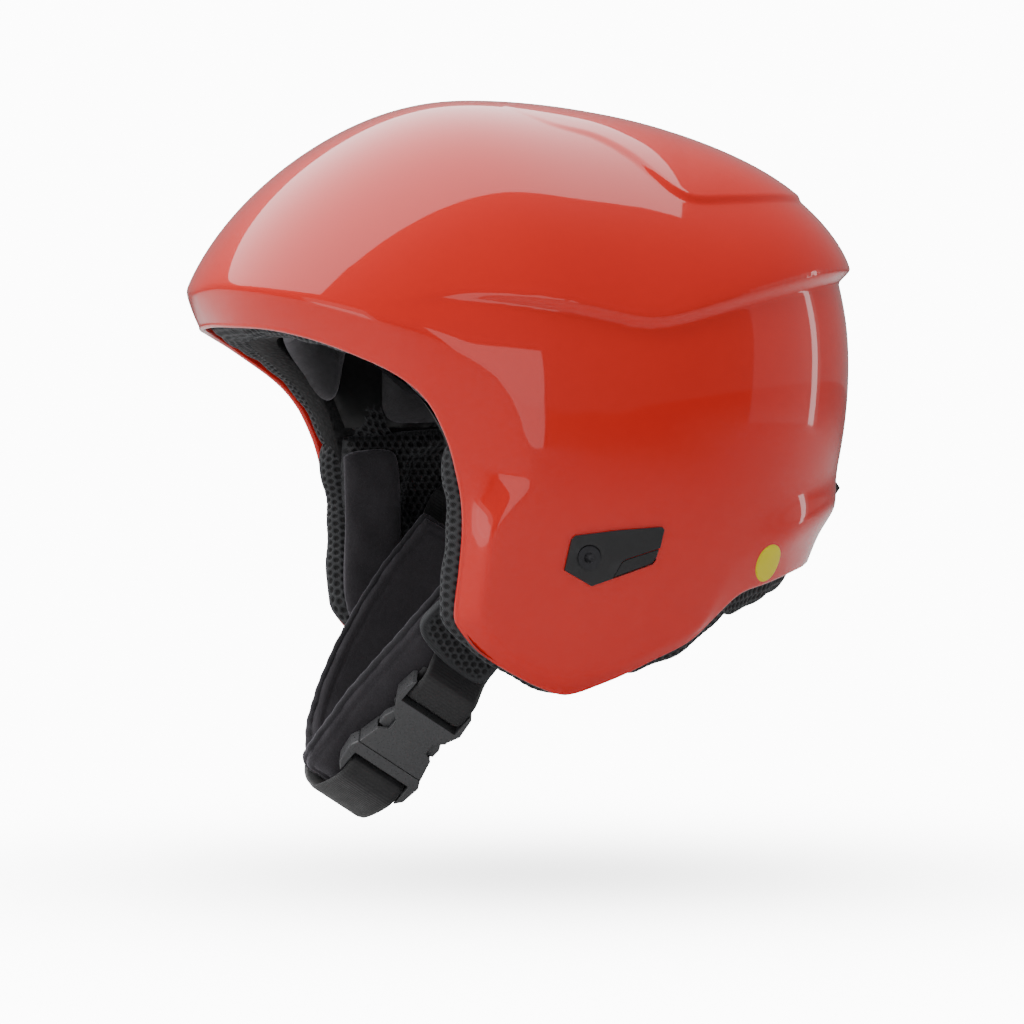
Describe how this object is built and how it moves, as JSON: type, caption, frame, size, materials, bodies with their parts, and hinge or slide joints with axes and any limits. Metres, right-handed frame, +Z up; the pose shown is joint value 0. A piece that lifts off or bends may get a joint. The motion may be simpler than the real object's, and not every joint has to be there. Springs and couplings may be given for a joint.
{
  "type": "ski helmet",
  "caption": "Glossy red alpine race helmet with hard ears, black mesh and plush liner, padded chin strap with side-release buckle and a rear goggle strap retainer.",
  "frame": {"origin": "centre of the head cavity on the midplane, level with the wearer's brow-to-nape hat line", "axes": "+Z up toward the crown, -Y toward the face, +X toward the wearer's left"},
  "size_m": [0.224, 0.2825, 0.2932],
  "materials": {
    "red_shell": "gloss clear coat",
    "foam": "fine closed-cell bead",
    "black_plastic": "satin moulded",
    "insert_plastic": "satin moulded",
    "black_steel": "black zinc",
    "steel": "plain",
    "spacer_mesh": "open hexagon knit",
    "plush": "brushed short pile",
    "comfort_textile": "soft knit over foam",
    "slip_film": "smooth low-friction sheet",
    "elastomer": "soft",
    "webbing": "ribbed narrow weave",
    "buckle_plastic": "satin acetal",
    "elastic": "elastic strap",
    "label_yellow": "plain sticker"
  },
  "bodies": {
    "helmet": {"outer_shell": "red_shell", "eps_liner": "foam", "side_cover_left": "black_plastic", "side_cover_right": "black_plastic", "cover_insert_left": "insert_plastic", "cover_insert_right": "insert_plastic", "cover_screws": "black_steel", "cover_nuts": "steel", "brow_liner": "spacer_mesh", "ear_pad_left": "spacer_mesh", "ear_pad_right": "spacer_mesh", "ear_cushion_left": "plush", "ear_cushion_right": "plush", "neck_roll": "spacer_mesh", "strap_anchor_plates": "steel", "strap_rivets": "steel", "retainer_base": "black_plastic", "snap_stud": "black_steel", "round_label": "label_yellow"},
    "slip_liner": {"slip_liner": "slip_film", "brow_pad": "comfort_textile", "crown_pad": "comfort_textile", "side_pads": "comfort_textile", "rear_pad": "comfort_textile", "slip_tethers": "elastomer"},
    "chin_strap": {"strap_tabs": "black_plastic", "strap_webbing_left": "webbing", "strap_webbing_right": "webbing", "chin_pad_left": "plush", "chin_pad_right": "plush", "strap_mesh_patch": "spacer_mesh", "buckle_female": "buckle_plastic"},
    "buckle_male": {"buckle_male": "buckle_plastic", "strap_webbing_chin": "webbing"},
    "prong_front": {"prong_front": "buckle_plastic"},
    "prong_rear": {"prong_rear": "buckle_plastic"},
    "retainer": {"retainer_strap": "elastic", "retainer_cap": "black_plastic"}
  },
  "joints": [
    {"name": "slip_liner_turn", "type": "hinge", "parent": "helmet", "child": "slip_liner", "pos_m": [0, 0, 0], "axis": [0, 0, 1], "range_deg": [-3, 3], "stiffness_Nm_per_rad": 1.5},
    {"name": "chin_strap_swing", "type": "hinge", "parent": "helmet", "child": "chin_strap", "pos_m": [0, 0.0025, -0.0364], "axis": [1, 0, 0], "range_deg": [-40, 35]},
    {"name": "buckle_release", "type": "slide", "parent": "chin_strap", "child": "buckle_male", "axis": [-0.5504, -0.4547, -0.7002], "range_m": [0, 0.03], "deforming": ["prong_front", "prong_rear", "strap_webbing_chin"]},
    {"name": "prong_front_squeeze", "type": "hinge", "parent": "buckle_male", "child": "prong_front", "pos_m": [0.03756, -0.07445, -0.13782], "axis": [0.8349, -0.2998, -0.4616], "range_deg": [0, 7], "stiffness_Nm_per_rad": 0.6},
    {"name": "prong_rear_squeeze", "type": "hinge", "parent": "buckle_male", "child": "prong_rear", "pos_m": [0.03756, -0.05885, -0.14795], "axis": [0.8349, -0.2998, -0.4616], "range_deg": [-7, 0], "stiffness_Nm_per_rad": 0.6},
    {"name": "retainer_swing", "type": "hinge", "parent": "helmet", "child": "retainer", "pos_m": [0, 0.1348, -0.0365], "axis": [1, 0, 0], "range_deg": [-100, 0]}
  ]
}
